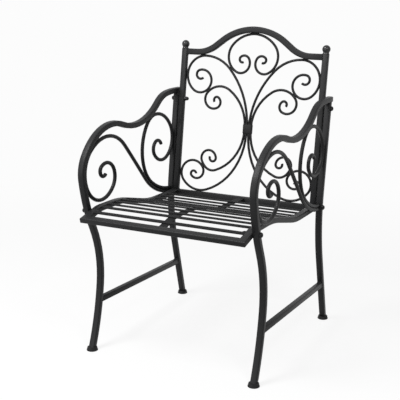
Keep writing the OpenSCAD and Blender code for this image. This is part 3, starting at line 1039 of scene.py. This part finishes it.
def weldBead(start, end, width=weld["width"]):
    # a rippled bead from start to end
    run = end - start
    count = max(2, round(run.length / weld["ripple"] / 2)) * 2
    bead = roundRing("weld", width / weld["swell"], weld["sides"])
    editing(bead)
    for step in range(count):
        k = 1 / weld["swell"] if step % 2 else weld["swell"]
        bpy.ops.mesh.extrude_region_move(
            TRANSFORM_OT_translate={"value": (0, 0, run.length / count)})
        bpy.ops.transform.resize(value=(k, k, 1), center_override=(0, 0, 0))
    bpy.ops.mesh.select_all(action="SELECT")
    bpy.ops.mesh.fill_holes(sides=0)
    faceOut()
    endEditing()
    placed(bead, Matrix.Translation(start) @ run.to_track_quat("Z", "Y").to_matrix().to_4x4())
    return smooth(bead, 60)


def weldRound(middle, wide, tall):
    # beads on the four sides of a bar's end; wide and tall reach from its middle to its faces
    return [weldBead(middle + side * a - weld["lap"] * b, middle + side * a + weld["lap"] * b)
            for a, b in ((wide, tall), (tall, wide)) for side in (-1, 1)]


def apart(pose, other):
    return math.dist(pose[:2], other[:2])


def touches(one, other, reach):
    # where one middle line comes within reach of another: its pose and the nearest one beside it
    near = []
    for pose in middleLines[one]:
        beside = min(middleLines[other], key=lambda p: apart(p, pose))
        near.append((apart(pose, beside), pose, beside))
    return [near[i][1:] for i in range(1, len(near) - 1)
            if near[i][0] < reach and near[i - 1][0] >= near[i][0] < near[i + 1][0]]


def contactWelds(plane, one, other, oneHalf, otherHalf, off=0.0):
    # a bead on each side of every place where a rod lies against another piece
    beads = []
    for pose, beside in touches(one, other, oneHalf + otherHalf + weld["near"]):
        share = oneHalf / (oneHalf + otherHalf)
        x, y = (pose[i] + (beside[i] - pose[i]) * share for i in (0, 1))
        along = plane.ahead(pose[2]) * weld["stretch"] / 2
        for side in (-1, 1):
            middle = plane.point(x, y, off + side * weld["spread"] * oneHalf)
            beads.append(weldBead(middle - along, middle + along))
    return beads


def barEndWelds():
    beads = []
    half = stretcherBar["side"] / 2
    for leg in ("arm", "rearLeg"):
        pose = min(middleLines[leg],
                   key=lambda p: min(apart(p, s) for s in middleLines["stretcher"]))
        middle = sidePlane.point(*pose[:2]) + sidePlane.ahead(pose[2] - 90) * sideTube["depth"] / 2
        beads += weldRound(middle, sidePlane.out * half, sidePlane.ahead(pose[2]) * half)
    for rail in ("topRail", "bottomRail"):
        middle = backPlane.point(innerPost, middleLines[rail][-1][1])
        beads += weldRound(
            middle, backPlane.out * backTube["depth"] / 2, backPlane.up * backTube["width"] / 2)
    return beads


def rodWelds():
    thick, thin = scrollRod["diameter"] / 2, backRod["diameter"] / 2
    tubeHalf, railHalf = sideTube["depth"] / 2, backTube["width"] / 2
    onSide = [("front", "arm", tubeHalf), ("oval", "arm", tubeHalf), ("oval", "rearLeg", tubeHalf),
              ("oval", "front", thick)]
    onBack = [("outerBackRod", "backPost", railHalf), ("outerBackRod", "topRail", railHalf),
              ("outerBackRod", "bottomRail", railHalf), ("innerBackRod", "outerBackRod", thin),
              ("centreBackRod", "outerBackRod", thin)]
    beads = []
    for one, other, otherHalf in onSide:
        beads += contactWelds(sidePlane, one, other, thick, otherHalf)
    for one, other, otherHalf in onBack:
        beads += contactWelds(backPlane, one, other, thin, otherHalf, -backRod["setback"])
    return beads


def slatWelds():
    beads = []
    for y, z, heading in slatPoses:
        top = Vector((seatIn, y, z)) + sidePlane.ahead(heading + 90) * seatTube["depth"] / 2
        along = sidePlane.ahead(heading) * (slatBar["width"] / 2 - weld["slatInset"])
        beads.append(weldBead(top - along, top + along, weld["slatWidth"]))
    return beads


def welds():
    right = joined(barEndWelds() + rodWelds() + slatWelds(), "rightWelds")
    left = mirrored(right, "leftWelds")
    keep(right, None, tubeCoat)
    keep(left, None, tubeCoat)
    print(len(right.data.polygons), "faces of weld on each side")


welds()
print("welds made")


# Floor, light and camera

studio = {
    "paper": 0.974,  # the white of the background
    "floorTone": 0.13,
    "floorCloud": (3.0, 2.0, 0.5),  # patches per metre, detail and roughness
    "cloudTone": 0.1313,  # the floor's tone in a patch
    "floorGlow": 0.25,  # what the floor throws back on the iron besides
    "litFloor": 0.125,  # how bright the lamps and the sky make the floor
    "floorEdge": (0.8, 2.4),  # metres from the chair between which the floor turns into paper
    "skyForIron": 0.32,
    "lampTarget": (0, 0, 0.5),
    "lamps": {  # place, width and power
        "key": ((-0.9, -1.45, 2.85), 1.1, 75),
        "side": ((1.5, -1.3, 2.4), 0.6, 18),
        "front": ((-1.4, -3.0, 1.3), 1.6, 26),
    },
}


def shownShare(flow):
    # 1 on the rays that show the background, 0 on the rays that light the iron
    seen = flow.add("ShaderNodeLightPath", out="Is Camera Ray")
    shine = flow.add("ShaderNodeLightPath", out="Is Glossy Ray")
    through = flow.add("ShaderNodeLightPath", out="Is Transmission Ray")
    return seen + shine + through


def floorMaterial():
    material, flow = newMaterial("paleFloor")
    place = flow.add("ShaderNodeTexCoord", out="Object")
    cloud = flow.noise(place, *studio["floorCloud"])
    glow, paper, shown = studio["floorGlow"], studio["paper"], shownShare(flow)
    matte = flow.add("ShaderNodeBsdfDiffuse", values={
        "Color": flow.blend(cloud, (studio["floorTone"],) * 3, (studio["cloudTone"],) * 3)})
    nearGlow = flow.add("ShaderNodeEmission", values={
        "Strength": glow + shown * (paper - studio["litFloor"] - glow)})
    near = flow.add("ShaderNodeAddShader", values={0: matte, 1: nearGlow})
    # far from the chair the floor runs into the white of the background
    far = flow.add("ShaderNodeEmission", values={"Strength": glow + shown * (paper - glow)})
    away = flow.add("ShaderNodeVectorMath", {"operation": "LENGTH"}, {0: place}, out="Value")
    share = flow.add("ShaderNodeMapRange", {"interpolation_type": "SMOOTHSTEP"}, {
        "Value": away, "From Min": studio["floorEdge"][0], "From Max": studio["floorEdge"][1]})
    both = flow.add("ShaderNodeMixShader", values={0: share, 1: near, 2: far})
    flow.add("ShaderNodeOutputMaterial", values={"Surface": both})
    return material


def floorPlane():
    bpy.ops.mesh.primitive_plane_add(size=60, location=(0, 0, 0))
    floor = bpy.context.object
    floor.name = "floor"
    floor.data.materials.append(floorMaterial())


def worldLight():
    world = bpy.data.worlds.new("studioWorld")
    world.use_nodes = True
    world.node_tree.nodes.clear()
    flow = Flow(world.node_tree)
    strength = studio["skyForIron"] + shownShare(flow) * (studio["paper"] - studio["skyForIron"])
    sky = flow.add("ShaderNodeBackground", values={"Color": (1, 1, 1, 1), "Strength": strength})
    flow.add("ShaderNodeOutputWorld", values={"Surface": sky})
    bpy.context.scene.world = world


def softbox(name, place, width, power):
    bpy.ops.object.light_add(type="AREA", location=place)
    lamp = bpy.context.object
    lamp.name = name
    lamp.data.shape = "DISK"
    lamp.data.size = width
    lamp.data.energy = power
    aim = Vector(studio["lampTarget"]) - Vector(place)
    lamp.rotation_euler = aim.to_track_quat("-Z", "Y").to_euler()


floorPlane()
worldLight()
for name, (place, width, power) in studio["lamps"].items():
    softbox(name, place, width, power)

photoCamera = {
    "lens": 76.94,
    "azimuth": 26.668,
    "elevation": 14.316,
    "roll": 0.6,
    "shift": 0.0325,
    "place": (1.1183, -2.3075, 1.0607),
}


def camera():
    turn, rise, roll = (math.radians(photoCamera[key]) for key in ("azimuth", "elevation", "roll"))
    level = Vector((math.cos(turn), math.sin(turn), 0))
    back = Vector((
        math.sin(turn) * math.cos(rise), -math.cos(turn) * math.cos(rise), math.sin(rise)))
    square = back.cross(level)
    right = math.cos(roll) * level + math.sin(roll) * square
    up = math.cos(roll) * square - math.sin(roll) * level
    matrix = Matrix((right, up, back)).transposed().to_4x4()
    matrix.translation = photoCamera["place"]
    bpy.ops.object.camera_add()
    eye = bpy.context.object
    eye.matrix_world = matrix
    eye.data.sensor_width = 36
    eye.data.lens = photoCamera["lens"]
    eye.data.shift_y = photoCamera["shift"]
    eye.data.clip_start = 0.05
    bpy.context.scene.camera = eye


camera()
bpy.context.scene.view_settings.view_transform = "Standard"
print("studio made")
